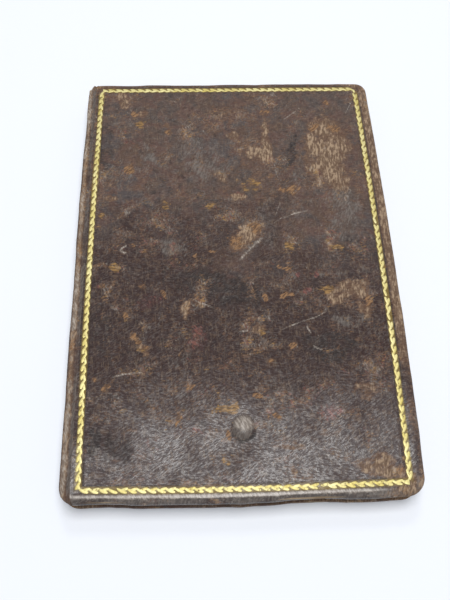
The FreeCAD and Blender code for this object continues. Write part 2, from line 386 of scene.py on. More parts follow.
def border_distance(x, y):
    """Signed distance to the border's centre line, outwards, from a rectangle with bowed sides."""
    share_y = (y - (border_head + border_tail) / 2) / ((border_head - border_tail) / 2)
    share_x = (x - (border_left + border_right) / 2) / ((border_right - border_left) / 2)
    arch_y, arch_x = 1 - np.clip(share_y, -1, 1) ** 2, 1 - np.clip(share_x, -1, 1) ** 2
    to_fore = x - border_right - border_bows["fore"] * arch_y
    to_spine = border_left - border_bows["spine"] * arch_y - x
    to_tail = border_tail - border_bows["tail"] * arch_x - y
    return np.maximum(np.maximum(to_fore, to_spine), np.maximum(to_tail, y - border_head))


def front_relief(x, y, from_edge):
    """Height of the leather over its plain level in mm, at a distance from the cover's edge."""
    soft_edge = -0.22 * smooth(1 - from_edge / 7.0) ** 2
    waves = 0.07 * cloud(x, y, 38.0, 11, 3) + 0.05 * cloud(x + y, 0.5 * (y - x), 9.0, 12, 3)
    channel = -channel_depth * smooth((channel_half + 0.3 - np.abs(border_distance(x, y))) / 0.45)
    # The leather is stretched to a ramp on the head side of the stud and falls steeply on the tail side
    along = y - stud_y + 0.5
    along = along / np.where(along > 0, ramp_reach, dome_radius - 0.1)
    away = np.clip(np.hypot((x - stud_x) / (dome_radius + 0.5), along), 0, 1)
    dome = dome_rise * (1 - away**2) ** 1.3
    crease_at = 1.3 + 0.25 * cloud(x, 0 * x, 16.0, 13, 2)
    crease = -0.3 * np.exp(-(((from_edge - crease_at) / 0.3) ** 2)) * (y < 0) * smooth((62 - np.abs(x)) / 8)
    lip = 0.08 * np.exp(-(((from_edge - 2.6) / 1.1) ** 2)) * (y < 0)
    return soft_edge + waves + channel + dome + crease + lip


def distance_inside(x, y):
    """How far a place is inside the cover's outline, before the edges swell."""
    return np.minimum(np.minimum(x_fore - x, y_head - y), y - y_tail)


from_edge = distance_inside(x, y)
plain_x, plain_y = swell(*round_spine_corners(x, y))
plain = np.stack([plain_x, plain_y, thickness - drop], -1)
on_top = smooth(1 - drop / roll)
height = front_relief(plain_x, plain_y, from_edge) * on_top
front_points = plain + grid_normals(plain) * height[..., None]
front_skin = grid_piece("front_cover_skin", front_points)
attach(front_skin, "front_cover")
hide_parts("front_cover_leather")

# %% [markdown]
# ## The back cover's leather
# The same skin turned upside down, with a coarser grid and no gold, because nothing shows there in the photo.

# %% Back cover
bx, by, bdrop = cover_surface(1.0)
back_plain_x, back_plain_y = swell(*round_spine_corners(bx, by))
dents = 0.12 * (cloud(bx, by, 9.0, 15, 3) - 1.0) * smooth(1 - bdrop / roll)
back_points = np.stack([back_plain_x, back_plain_y, bdrop - dents * smooth(distance_inside(bx, by) / 6)], -1)
back_skin = grid_piece("back_cover_skin", back_points, outward_up=False)
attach(back_skin, "back_cover")
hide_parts("back_cover_leather")

# %% [markdown]
# ## Spine and joints
# Here the section goes the other way round: it runs from one cover, down into the groove, up over the ridge,
# down the flat spine and back again, and it is carried along the book. At head and tail the leather folds
# over, tightly on the spine and as loosely as on the board beside the cover.

# %% Section of the spine
groove = 0.5


def joint_path(count):
    """Section of the front joint from ridge to cover: level ends with a cosine dip between."""
    s = np.linspace(0, 1, count)
    px = x_hinge + (x_cover - x_hinge) * s
    pz = thickness - groove * (1 - np.cos(2 * math.pi * s)) / 2
    slope = -groove * math.pi * np.sin(2 * math.pi * s) / (x_cover - x_hinge)
    length = np.hypot(1, slope)
    return px, pz, -slope / length, 1 / length, s


def spine_path(ridge_count, flat_count):
    """Section of the spine: a quarter circle, a straight and a quarter circle, with outward normals."""
    turn = np.linspace(math.pi / 2, math.pi, ridge_count)
    top = np.stack([x_hinge + roll * np.cos(turn), thickness - roll + roll * np.sin(turn)])
    flat_z = np.linspace(thickness - roll, roll, flat_count)[1:-1]
    flat = np.stack([np.full_like(flat_z, x_spine), flat_z])
    turn2 = np.linspace(math.pi, 1.5 * math.pi, ridge_count)
    low = np.stack([x_hinge + roll * np.cos(turn2), roll + roll * np.sin(turn2)])
    px, pz = np.concatenate([top, flat, low], 1)
    nx = np.concatenate([np.cos(turn), np.full_like(flat_z, -1.0), np.cos(turn2)])
    nz = np.concatenate([np.sin(turn), np.zeros_like(flat_z), np.sin(turn2)])
    return px, pz, nx, nz


def carry_along(px, pz, nx, nz, board_share, step):
    """Carries a section along the book and folds it over at both ends. board_share is 1 where the fold is
    the board's and 0 where it is the spine's."""
    v = laid_rows(step)[:, None]
    edge_y = np.where(v > 0, y_head, -y_tail)
    share = (np.abs(v) - (edge_y - roll)) / edge_length(board_edge)
    wide_out, wide_down = edge_section(np.maximum(share, 0), board_edge)
    tight_out, tight_down = edge_section(np.maximum(share, 0), spine_edge)
    out = wide_out * board_share + tight_out * (1 - board_share)
    down = wide_down * board_share + tight_down * (1 - board_share)
    y = np.where(share > 0, edge_y + out, np.abs(v) + 0 * out) * np.sign(v)
    x = px - nx * down
    z = pz - nz * down
    x, y = round_spine_corners(x, y)
    x, y = swell(x, y)
    return np.stack([x, y, z], -1)


jx, jz, jnx, jnz, js = joint_path(11)
front_joint_points = carry_along(jx, jz, jnx, jnz, js, fine_step)
front_joint = grid_piece("front_joint_skin", front_joint_points)
back_joint_points = front_joint_points * [1, 1, -1] + [0, 0, thickness]
back_joint = grid_piece("back_joint_skin", back_joint_points, outward_up=False)
spx, spz, snx, snz = spine_path(12, 18)
spine_points = carry_along(spx, spz, snx, snz, np.zeros_like(spx), fine_step)
spine_skin = grid_piece("spine_skin", spine_points, outward_up=False)
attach(spine_skin, "pages")
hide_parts("spine_leather")
for piece, body, node, height_z in (
    (front_joint, "front_cover", "front_joint_leather", thickness),
    (back_joint, "back_cover", "back_joint_leather", 0.0),
):
    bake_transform(piece)
    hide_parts(node)

# %% [markdown]
# ## Gold leaves
# The binder pressed gold leaf with a heated brass roll, which left two leaves in each repeat: an outer one
# that comes down from the inner edge and lies along the outer edge, and an inner one that nestles behind it
# and rises. Each leaf is a bent spindle: its middle line follows a curve, and its width follows a sine.

# %% Braid
leaf_pitch = 3.4
leaf_rows, leaf_columns = 9, 5
braid_half = 1.32
leaf_gap = 0.03
# Where the gold is gone: side and where it starts along the side, and where it ends, in mm
worn_places = {
    ("fore", 179.0): 182.0,
    ("tail", 116.5): 119.0,
    ("spine", 180.5): 182.0,
}
# Each leaf: where its middle line starts and ends along the pitch, its distance from the border's line
# there (in halves of the braid's width), how soon it bends over, and its half width
leaf_kinds = {
    "outer": (0.0, 1.16, -0.60, 0.50, 0.55, 0.54),
    "inner": (0.36, 1.30, 0.0, -0.55, 1.2, 0.50),
}
border_lines = {
    "tail": ((border_left, border_tail), (border_right, border_tail), (0, -1), border_bows["tail"]),
    "fore": ((border_right, border_tail), (border_right, border_head), (1, 0), border_bows["fore"]),
    "head": ((border_right, border_head), (border_left, border_head), (0, 1), 0.0),
    "spine": ((border_left, border_head), (border_left, border_tail), (-1, 0), border_bows["spine"]),
}


def leaf_grid(kind):
    """A leaf as a grid of (along in pitches, outwards in mm, height in mm)."""
    start, end, low, high, bend, half = leaf_kinds[kind]
    u = np.linspace(0, 1, leaf_rows)[:, None]
    v = np.linspace(-1, 1, leaf_columns)[None, :]
    rise = 1 - (1 - u) ** (1 / bend) if bend < 1 else u**bend
    middle = low + (high - low) * rise
    width = half * np.sin(math.pi * np.clip(0.05 + 0.9 * u, 0, 1)) ** 0.5 - leaf_gap / 2
    along = start + (end - start) * u + 0 * v
    outwards = (middle + width * v) * braid_half
    puff = 0.10 * (1 - v * v) * np.sin(math.pi * u) ** 0.4
    return along, outwards, puff + 0 * along


chance = np.random.default_rng(5)
leaf_points, leaf_quads, leaf_tone, leaf_rim = [], [], [], []
# 1 along a leaf's outline, falling to 0 towards its middle
along_leaf, across_leaf = np.linspace(-1, 1, leaf_rows)[:, None], np.linspace(-1, 1, leaf_columns)[None, :]
rim_of_leaf = np.maximum(across_leaf**2, along_leaf**6)
leaf_size = leaf_rows * leaf_columns
for side_name, (start, end, outward, bow) in border_lines.items():
    start, end, outward = np.array(start), np.array(end), np.array(outward)
    length = np.linalg.norm(end - start)
    along_side = (end - start) / length
    pitches = int(round(length / leaf_pitch))
    pitch = length / pitches
    for k in range(pitches):
        gone = any(
            worn_side == side_name and low <= k * pitch <= high
            for (worn_side, low), high in worn_places.items()
        )
        for kind in leaf_kinds:
            along, outwards, puff = leaf_grid(kind)
            jitter = chance.normal(0, 1, 3) * [0.02, 0.03, 0.25]
            if gone or chance.random() < 0.012:
                continue
            place = np.clip((k + along + jitter[0]) * pitch, 0.3, length - 0.3)
            bowed = bow * (1 - (2 * place / length - 1) ** 2)
            off_line = bowed + outwards + jitter[1]
            flat = start + along_side * place[..., None] + outward * off_line[..., None]
            lx, ly = flat[..., 0], flat[..., 1]
            lz = thickness + front_relief(lx, ly, distance_inside(lx, ly)) + 0.05 + puff
            lz = np.maximum(lz, thickness - channel_depth + puff)
            quads = grid_quads(leaf_rows, leaf_columns) + len(leaf_points) * leaf_size
            leaf_points.append(np.stack([lx, ly, lz], -1).reshape(-1, 3))
            leaf_quads.append(quads[:, ::-1] if np.cross(along_side, outward) > 0 else quads)
            leaf_tone.append(np.full(leaf_size, jitter[2]))
            leaf_rim.append(rim_of_leaf.ravel())
braid = mesh_piece("gilt_braid", np.concatenate(leaf_points), np.concatenate(leaf_quads))
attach(braid, "front_cover")
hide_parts("gold_tooling")
add_field(braid, "tone", np.concatenate(leaf_tone))
add_field(braid, "rim", np.concatenate(leaf_rim))
print(len(leaf_points), "leaves")

# %% [markdown]
# ## The edges of the pages
# The CAD block is smooth. A skin of page edges goes round its tail, fore-edge and head: each sheet is one
# ridge, and no two are trimmed quite alike. Every few sheets, where one folded section ends, the line is
# deeper.

# %% Page edges
sheet = 0.13
sheets_in_section = 8
rim_x0, rim_x1 = x_hinge + 1.2, block_high[0]
rim_y0, rim_y1 = block_low[1], block_high[1]
rim_step = 1.3


def rim_places():
    """Places round the block's three open sides with their outward directions, from spine to spine."""
    runs = [
        ((rim_x0, rim_y0), (rim_x1, rim_y0), (0, -1)),
        ((rim_x1, rim_y0), (rim_x1, rim_y1), (1, 0)),
        ((rim_x1, rim_y1), (rim_x0, rim_y1), (0, 1)),
    ]
    places, ways = [], []
    for start, end, way in runs:
        start, end = np.array(start), np.array(end)
        count = int(np.linalg.norm(end - start) / rim_step)
        share = np.linspace(0, 1, count)[:, None]
        places.append(start + (end - start) * share)
        ways.append(np.tile(np.array(way, float), (count, 1)))
    return np.concatenate(places), np.concatenate(ways)


rim, way = rim_places()
sheet_count = int((block_high[2] - block_low[2]) / sheet)
level = np.linspace(block_low[2] + 0.02, block_high[2] - 0.02, 2 * sheet_count + 1)
number = np.minimum(np.arange(level.size) // 2, sheet_count - 1)
is_ridge = np.arange(level.size) % 2
trim = np.random.default_rng(8).uniform(0, 0.16, sheet_count)[number]
section_end = (number % sheets_in_section == 0) & (is_ridge == 0)
around = np.arange(len(rim))
push = 0.04 + 0.09 * is_ridge[:, None] + trim[:, None] - 0.06 * section_end[:, None]
push = push + 0.07 * cloud(around[None, :] * rim_step, number[:, None] * 3.0, 9.0, 21, 3)
push = np.maximum(push, 0.02)
page_plan = rim[None, :, :] + way[None] * push[..., None]
page_levels = np.broadcast_to(level[:, None, None], (*push.shape, 1))
page_points = np.concatenate([page_plan, page_levels], -1)
page_edges = grid_piece("page_edges", page_points)
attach(page_edges, "pages")
add_field(page_edges, "sheet", (is_ridge * 0.6 + trim * 2.5)[:, None] + 0 * push)

# %% [markdown]
# ## Wear on the leather, and painted light and shade
# Two centuries of handling leave marks that no formula would place, so the larger ones are named here with
# the pixel of the photo where each shows, in the order x, y, half length, half width, turn in degrees and
# strength. They run from the head to the tail, large ones first. They are soft ovals; the material breaks
# them up with fine noise. What lies outside the photo gets wear from its place: on corners, along edges and
# on the ridges.

# %% Marks
marks = {
    "tan": [
        (326, 150, 42, 25, 82, 0.85),  # big scuff towards the head
        (247, 238, 24, 10, -32, 0.8),  # diagonal scuff
        (352, 291, 26, 13, -8, 0.75),  # right patch
        (383, 466, 26, 13, 10, 0.75),  # tail corner
        (124, 101, 8, 8, 0, 0.55), (143, 115, 7, 4, 0, 0.5), (167, 125, 4, 4, 0, 0.55),
        (233, 134, 7, 8, 80, 0.5), (268, 140, 24, 6, 88, 0.6), (257, 154, 12, 8, 0, 0.6),
        (222, 178, 10, 8, 60, 0.6), (335, 182, 14, 10, 0, 0.55), (239, 196, 9, 4, 0, 0.5),
        (110, 199, 8, 5, 0, 0.5), (173, 250, 14, 12, 0, 0.35), (198, 303, 9, 3, 25, 0.6),
        (365, 310, 8, 12, 0, 0.5), (187, 312, 13, 4.5, -68, 0.85), (260, 330, 8, 6, 0, 0.55),
        (146, 351, 9, 6, 20, 0.6), (365, 392, 15, 8, 15, 0.6), (291, 447, 18, 5, 5, 0.45),
        (293, 472, 5, 8, 0, 0.5), (409, 482, 14, 11, -50, 1.0),
    ],
    "rust": [
        (325, 103, 5, 3, 0, 0.7), (265, 112, 6, 4, 0, 0.7), (134, 115, 5, 4, 0, 0.8),
        (314, 127, 8, 6, 0, 0.7), (331, 127, 8, 6, 0, 0.7), (168, 134, 5, 4, 0, 0.7),
        (127, 169, 6, 5, 0, 0.75), (289, 190, 14, 6, 0, 0.75), (369, 212, 4, 4, 0, 0.6),
        (257, 227, 9, 4, 0, 0.7), (236, 240, 9, 8, 0, 0.7), (131, 247, 5, 3.5, 0, 0.75),
        (213, 252, 6, 2, 0, 0.7), (196, 256, 4, 3, 0, 0.85), (283, 266, 11, 3.5, 8, 0.85),
        (384, 266, 2, 4, 0, 0.8), (102, 285, 6, 5, 0, 0.5), (141, 286, 7, 6, 40, 0.55),
        (164, 294, 7, 2.4, 48, 0.95), (288, 296, 9, 3, -18, 0.9), (266, 299, 4, 4, 0, 0.95),
        (366, 303, 4, 10, 0, 0.75), (125, 315, 3, 4, 0, 0.8), (136, 337, 9, 4, 60, 0.75),
        (293, 344, 5, 4, 0, 0.9), (147, 346, 7, 3, -10, 0.8), (269, 361, 5, 5, 0, 0.7),
        (96, 379, 4, 4, 0, 0.6), (107, 384, 11, 2.4, -52, 0.75), (191, 388, 9, 3, -14, 0.75),
        (258, 396, 6, 2.5, 0, 0.9), (278, 415, 3.5, 4, 0, 0.75), (176, 416, 20, 3, 88, 0.5),
        (229, 436, 3, 6, 0, 0.8), (405, 470, 10, 9, 60, 0.4),
    ],
    "red": [
        (197, 340, 14, 18, 0, 0.5),  # under the crescent
        (132, 139, 12, 3, 0, 0.5), (270, 157, 4, 4, 0, 0.8), (318, 169, 4, 6, 0, 0.6),
        (241, 196, 8, 3, 0, 0.7), (316, 275, 3, 4, 0, 0.9), (299, 276, 3, 4, 0, 0.95),
        (99, 280, 4, 6, 0, 0.5), (308, 289, 6, 5, 0, 0.85), (152, 300, 16, 14, 0, 0.45),
        (297, 302, 7, 2.5, 0, 0.6), (332, 410, 14, 10, 0, 0.45), (199, 432, 14, 4, 0, 0.5),
    ],
    "straw": [
        (142, 123, 6, 4, 0, 0.7), (247, 186, 13, 7, 0, 0.6), (210, 205, 7, 5, 0, 0.6),
        (164, 207, 6, 4, 0, 0.65), (101, 214, 5, 3, 0, 0.75), (290, 246, 6, 3, 15, 0.85),
        (337, 246, 7, 3, 0, 0.6), (116, 268, 6, 4.5, 0, 0.9), (328, 291, 9, 6, 0, 0.6),
        (262, 330, 5, 4, 0, 0.6), (140, 352, 8, 4, 0, 0.6), (226, 409, 15, 6, -4, 1.2),
        (123, 412, 5, 3, 0, 0.85), (408, 458, 5, 9, 20, 0.3), (224, 463, 7, 4, 0, 0.8),
    ],
    "grey": [
        (200, 160, 30, 30, 0, 0.4),  # upper middle
        (345, 215, 20, 30, 0, 0.45),  # right of the scuff
        (150, 160, 10, 10, 0, 0.6), (294, 175, 2.5, 2.5, 0, 1.0), (336, 221, 5, 4, 0, 0.7),
        (172, 250, 16, 13, 0, 0.5), (350, 320, 18, 8, 0, 0.45),
    ],
    "dark": [
        (105, 150, 8, 30, 0, 0.4),  # upper left
        (215, 285, 60, 22, 10, 0.55),  # middle band
        (100, 330, 22, 40, 0, 0.3),  # left of the middle
        (330, 345, 34, 16, 0, 0.5),  # right of the middle
        (117, 450, 16, 18, 0, 0.6),  # second plain patch
        (292, 150, 7, 26, 4, 0.6), (350, 245, 20, 10, 0, 0.4), (94, 446, 8, 20, 0, 0.85),
    ],
}
# Fine scratches: their path from pixel to pixel of the photo, half width in pixels and strength
scratches = [
    ([(284.5, 119), (295, 111.6)], 0.8, 0.8),
    ([(280, 203), (276, 214)], 0.7, 0.8),
    ([(284.5, 218), (295, 213), (307, 211)], 0.7, 0.9),
    ([(274, 223), (281, 218), (308, 210)], 0.7, 0.7),
    ([(281, 330), (300, 322), (316, 317), (325, 312)], 0.7, 0.9),
    ([(240, 260), (250, 249), (262, 238)], 1.7, 0.7),
    ([(113, 377), (121, 375), (130, 373.5), (141, 373)], 0.8, 1.0),
    ([(126, 246), (122, 248), (120.5, 250.5), (123, 252.5), (126, 253)], 1.0, 1.2),
    ([(193, 300), (204, 304), (214, 308)], 0.9, 0.6),
    ([(307, 327), (311, 333)], 1.0, 0.8),
    ([(314, 346), (322, 350)], 1.0, 0.9),
    ([(131, 273), (139, 275)], 1.0, 0.7),
    ([(234, 331), (247, 331)], 0.9, 0.6),
    ([(345.5, 113), (350.5, 103)], 0.6, 0.8),
    ([(258, 470), (275, 478), (290, 484)], 1.1, 0.6),
]


def oval(px, py, x, y, half_long, half_wide, turn, strength):
    """A soft oval spot: 1.35 (1 - d^2) of its strength, d being the distance in radii, cut off at 1."""
    c, s = math.cos(math.radians(turn)), math.sin(math.radians(turn))
    a = ((px - x) * c + (py - y) * s) / half_long
    b = ((py - y) * c - (px - x) * s) / half_wide
    return strength * np.clip(1.35 * (1 - a * a - b * b), 0, 1)


def stroke(px, py, path, half_wide, strength):
    """A scratch along a path: strongest on it and nothing from 1.4 half widths away."""
    nearest = np.full(px.shape, 1e9)
    for (ax, ay), (bx, by) in zip(path, path[1:]):
        length2 = (bx - ax) ** 2 + (by - ay) ** 2
        share = np.clip(((px - ax) * (bx - ax) + (py - ay) * (by - ay)) / length2, 0, 1)
        nearest = np.minimum(nearest, np.hypot(px - ax - share * (bx - ax), py - ay - share * (by - ay)))
    return strength * np.clip(1 - nearest / (half_wide * 1.4), 0, 1)


kinds = ("tan", "rust", "red", "straw", "grey", "pale", "dark", "deep", "sheen", "polish", "gilt")


def edge_wear(from_edge, x, y, seed):
    """Wear that comes from handling: rubbed edges and corners, more of it on some stretches than others."""
    along = 0.55 + 0.45 * cloud(x, y, 26.0, seed, 2)
    corner_near = smooth(1 - np.hypot(x_fore - np.abs(x), y_head - np.abs(y)) / 16)
    edge = smooth(1 - from_edge / 3.6)
    return {
        "tan": 0.45 * edge * along + 0.8 * corner_near * smooth(1 - from_edge / 8),
        "rust": 0.35 * edge * (1 - along) + 0.3 * corner_near,
        "pale": 0.25 * smooth(1 - from_edge / 1.6) * along,
    }


def empty_fields(like):
    """No wear and no painted light or shade of any kind, one number per vertex."""
    return {kind: np.zeros(like.shape) for kind in kinds}


def at_least(fields, kind, value):
    """Wear, and painted light and shade, add no further to themselves: where two kinds of it meet, the
    stronger one counts.
    """
    fields[kind] = np.maximum(fields[kind], value)


# The front cover: the photo's marks, then its edges. The places are warped by clouds, so that no mark
# keeps its oval outline, and other clouds tear holes in it.
px, py = np.moveaxis(to_photo(front_points), -1, 0)
front = empty_fields(px)
for number_of_kind, (kind, spots) in enumerate(marks.items()):
    seed = 60 + 5 * number_of_kind
    warp_x = px + 7 * cloud(px, py, 16.0, seed, 4, 0.7)
    warp_y = py + 7 * cloud(px, py, 16.0, seed + 1, 4, 0.7)
    torn = np.clip(1.0 + 0.6 * cloud(px, py, 6.0, seed + 2, 3, 0.8), 0.2, 1.4)
    for spot in spots:
        size = math.sqrt(spot[2] * spot[3]) / 10
        near = min(size, 1.0)
        place_x, place_y = px + (warp_x - px) * near, py + (warp_y - py) * near
        at_least(front, kind, oval(place_x, place_y, *spot) * torn)
front["tan"] += 0.2 * smooth(cloud(px, py, 60.0, 91, 3) + 0.2) * smooth((330 - py) / 160)
front["rust"] += 0.1 * smooth(cloud(px, py, 40.0, 92, 3) + 0.3)
front["red"] += 0.2 * smooth(cloud(px, py, 50.0, 93, 3)) * smooth((py - 180) / 60)
front["grey"] += 0.25 * smooth(cloud(px, py, 30.0, 94, 4))
deep_from_pixel, deep_over = 170, 130
front["deep"] = smooth((py - deep_from_pixel) / deep_over + 0.4 * cloud(px, py, 45.0, 95, 3))
for path, half_wide, strength in scratches:
    at_least(front, "pale", stroke(px, py, path, half_wide, strength))
to_border = border_distance(plain_x, plain_y)
in_margin = smooth(to_border - channel_half)
margin_from_y = -86.0
short_of_corner = smooth((54 - plain_x) / 12)
tail_margin = in_margin * smooth((margin_from_y - plain_y) / 2)
lip_at = 2.7
for kind, value in edge_wear(from_edge, plain_x, plain_y, 31).items():
    value = value * (1 - 0.7 * smooth((-84 - plain_y) / 3) * smooth((52 - plain_x) / 10))
    at_least(front, kind, value)
fore_side = smooth((plain_x - 57) / 3) * in_margin
at_least(front, "tan", 0.75 * fore_side * smooth((plain_y + 65) / 40))
sheen_from_pixel, sheen_over = 345, 100
scuffed_matt = 1 - 0.6 * smooth(front["dark"] + front["tan"] + front["rust"])
front["sheen"] = smooth((py - sheen_from_pixel) / sheen_over) * scuffed_matt
front["sheen"] *= 0.85 + 0.4 * cloud(px, py, 24.0, 96, 4)
front["sheen"] *= 1 - 0.6 * smooth((160 - px) / 70) * smooth((470 - py) / 30)
# Grey over the tail margin is a painted highlight: the light streak on its rolled leather
at_least(front, "grey", 0.9 * tail_margin * (0.7 + 0.5 * cloud(px, py, 14.0, 97, 3)))
front["polish"] = tail_margin * short_of_corner
# A pale painted highlight along the rolled lip of the tail edge
painted_lip_highlight = np.exp(-(((from_edge - lip_at) / 0.7) ** 2)) * (plain_y < -80)
at_least(front, "pale", 1.3 * painted_lip_highlight * short_of_corner)
# Over the stud the leather is worn pale by handling, with a painted highlight on its head side and painted
# shade at its base
over_x, over_y = plain_x - stud_x, plain_y - stud_y
# A pale painted highlight on the stud's head side, laid over leather worn by handling
rubbed_and_highlight = smooth(1.35 - np.hypot(over_x / 4.0, (over_y - 2.3) / 3.4))
at_least(front, "pale", 1.1 * rubbed_and_highlight)
at_least(front, "polish", 0.85 * rubbed_and_highlight)
# Grey over the whole dome is painted sheen that lifts its slopes to the brightness around them
at_least(front, "grey", 0.9 * smooth(1.3 - np.hypot(over_x / 4.2, (over_y + 0.5) / 4.0)))
# Painted shade at the stud's base on its tail side
stud_foot_shade = np.exp(-(((np.hypot(over_x, over_y) - 4.5) / 0.7) ** 2)) * smooth(-over_y / 3)
at_least(front, "dark", 1.3 * stud_foot_shade)
front["gilt"] = smooth((channel_half - 0.1 - np.abs(to_border)) / 0.3)
to_corner = np.hypot(border_right - np.abs(plain_x), border_head - np.abs(plain_y))
front["gilt"] *= smooth((to_corner - 1) / 2)
# Painted shade in the crease near the tail's edge
at_least(front, "dark", 0.9 * np.exp(-(((from_edge - 1.25) / 0.35) ** 2)) * (plain_y < -80))
channel_edge = np.abs(np.abs(to_border) - channel_half - 0.15)
at_least(front, "dark", 0.75 * smooth(1 - channel_edge / 0.45))
# Painted shade where the leather turns down over the board's edges
at_least(front, "dark", 0.9 * smooth(drop / 1.2 - 0.5))

# The back cover: rubbed all over where it slides on shelves, most at its edges
back = empty_fields(bx)
for kind, value in edge_wear(distance_inside(bx, by), back_plain_x, back_plain_y, 37).items():
    back[kind] = value
shelf = smooth(cloud(bx, by, 30.0, 41, 4) * 0.9 + 0.1)
at_least(back, "tan", 0.6 * shelf)
at_least(back, "rust", 0.5 * smooth(cloud(bx, by, 17.0, 43, 4) - 0.1))
back["grey"] = 0.5 * smooth(cloud(bx, by, 24.0, 47, 4))


def spine_fields(points):
    """The ridges are worn to tan leather, with rust flecks. The flat spine is greyed and flecked with tan,
    and over the grooves lies grey: their own colour, and painted light that lifts their shade.
    """
    sx, sy, sz = np.moveaxis(points, -1, 0)
    fields = empty_fields(sx)
    low_or_high = np.minimum(sz, thickness - sz)
    ridge = np.exp(-(((sx - x_hinge + 0.4) / 1.15) ** 2)) * smooth(1 - low_or_high / 2.6)
    along = 0.62 + 0.38 * cloud(sy, sx * 0, 11.0, 51, 3)
    ends = smooth((np.abs(sy) - (y_head - 9)) / 8)
    fields["tan"] = np.maximum(1.5 * ridge * along ** 0.5, 0.5 * ends)
    fields["pale"] = 0.85 * ridge * along
    fields["rust"] = np.maximum(0.8 * ridge * (1.05 - along), 0.4 * ends)
    flat_spine = smooth((x_hinge - 1.2 - sx) / 0.6)
    fields["grey"] = 0.35 * flat_spine
    fields["deep"] = 0.5 + 0 * sx
    at_least(fields, "tan", 0.4 * flat_spine * smooth(cloud(sy, sz, 9.0, 53, 4)))
    # Grey over the groove and joint: their own grey, and painted light that lifts the groove's shade
    in_groove = smooth((sx - x_hinge - 0.5) / 0.8)
    at_least(fields, "grey", 0.9 * in_groove * along)
    return fields


def set_leather(piece, points, fields):
    """Gives a piece its rest places, in mm, for the patterns, and its wear and painted light and shade."""
    rest = piece.data.attributes.new("rest", "FLOAT_VECTOR", "POINT")
    rest.data.foreach_set("vector", np.ascontiguousarray(points, np.float32).ravel())
    for kind, values in fields.items():
        add_field(piece, kind, values)


set_leather(front_skin, plain, front)
set_leather(back_skin, back_points, back)
for piece, points in (
    (spine_skin, spine_points),
    (front_joint, front_joint_points),
    (back_joint, back_joint_points),
):
    set_leather(piece, points, spine_fields(points))

# %% [markdown]
# ## Materials
# Each material stands for a real one. Colours are sRGB hex codes, turned linear. Patterns take their sizes
# in millimetres, because their coordinates are the rest places in millimetres.

# %% Node helpers


def linear(code):
    """An sRGB hex colour such as #4a3b30 as linear red, green, blue and 1."""
    values = [int(code[i : i + 2], 16) / 255 for i in (1, 3, 5)]
    return [v / 12.92 if v <= 0.04045 else ((v + 0.055) / 1.055) ** 2.4 for v in values] + [1.0]


def add_node(tree, kind, links=(), **settings):
    """Adds a node. Settings named in_NAME set its input sockets, and others its properties. Each link is
    (input name or number, output socket of another node)."""
    node = tree.nodes.new(kind)
    for key, value in settings.items():
        if key.startswith("in_"):
            node.inputs[key[3:].replace("_", " ")].default_value = value
        else:
            setattr(node, key, value)
    for socket, source in links:
        tree.links.new(source, node.inputs[socket])
    return node


def new_material(name):
    """An empty material and its tree, with a Principled shader joined to the output."""
    material = bpy.data.materials.new(name)
    material.use_nodes = True
    tree = material.node_tree
    tree.nodes.clear()
    shader = tree.nodes.new("ShaderNodeBsdfPrincipled")
    output = tree.nodes.new("ShaderNodeOutputMaterial")
    tree.links.new(shader.outputs[0], output.inputs[0])
    return material, tree, shader


def field(tree, name):
    """A number stored on the mesh."""
    return add_node(tree, "ShaderNodeAttribute", attribute_name=name).outputs["Fac"]


def noise(tree, place, size, detail=3.0, stretch=(1, 1, 1), turn=0.0, distortion=0.0, shift=0.0):
    """Fractal noise, 0 to 1, with features of about that size in the coordinates' unit."""
    laid = add_node(
        tree,
        "ShaderNodeMapping",
        [(0, place)],
        vector_type="TEXTURE",
        in_Scale=tuple(1 / s for s in stretch),
        in_Rotation=(0, 0, math.radians(turn)),
        in_Location=(shift, shift, shift),
    )
    node = add_node(
        tree,
        "ShaderNodeTexNoise",
        [("Vector", laid.outputs[0])],
        in_Scale=1 / size,
        in_Detail=detail,
        in_Distortion=distortion,
    )
    return node.outputs["Fac"]


def ramp(tree, value, low, high, to_low=0.0, to_high=1.0):
    """An S-shaped step from to_low at low to to_high at high."""
    node = add_node(tree, "ShaderNodeMapRange", [(0, value)], interpolation_type="SMOOTHSTEP")
    for socket, number in zip(("From Min", "From Max", "To Min", "To Max"), (low, high, to_low, to_high)):
        node.inputs[socket].default_value = number
    return node.outputs[0]


def math_node(tree, operation, first, second, third=None):
    """A sum, product or other operation on sockets or numbers."""
    node = add_node(tree, "ShaderNodeMath", operation=operation)
    for k, value in enumerate((first, second, third)):
        if isinstance(value, (int, float)):
            node.inputs[k].default_value = value
        elif value is not None:
            tree.links.new(value, node.inputs[k])
    return node.outputs[0]


def mixed(tree, factor, first, second):
    """Two colours mixed; each is a socket or a hex code."""
    node = add_node(tree, "ShaderNodeMix", data_type="RGBA")
    for socket, value in ((0, factor), (6, first), (7, second)):
        if isinstance(value, str):
            node.inputs[socket].default_value = linear(value)
        elif isinstance(value, (int, float)):
            node.inputs[socket].default_value = value
        else:
            tree.links.new(value, node.inputs[socket])
    return node.outputs[2]


def between(tree, factor, first, second):
    """A number between two sockets or numbers."""
    node = add_node(tree, "ShaderNodeMix", [(0, factor), (2, first)], data_type="FLOAT")
    if isinstance(second, float):
        node.inputs[3].default_value = second
    else:
        tree.links.new(second, node.inputs[3])
    return node.outputs[0]


def bump(tree, height, depth_mm, below=None):
    """Raises the surface by a height of 0 to 1 times a depth in mm, on top of another bump."""
    node = add_node(tree, "ShaderNodeBump", [("Height", height)], in_Distance=depth_mm * MM)
    if below is not None:
        tree.links.new(below, node.inputs["Normal"])
    return node.outputs[0]
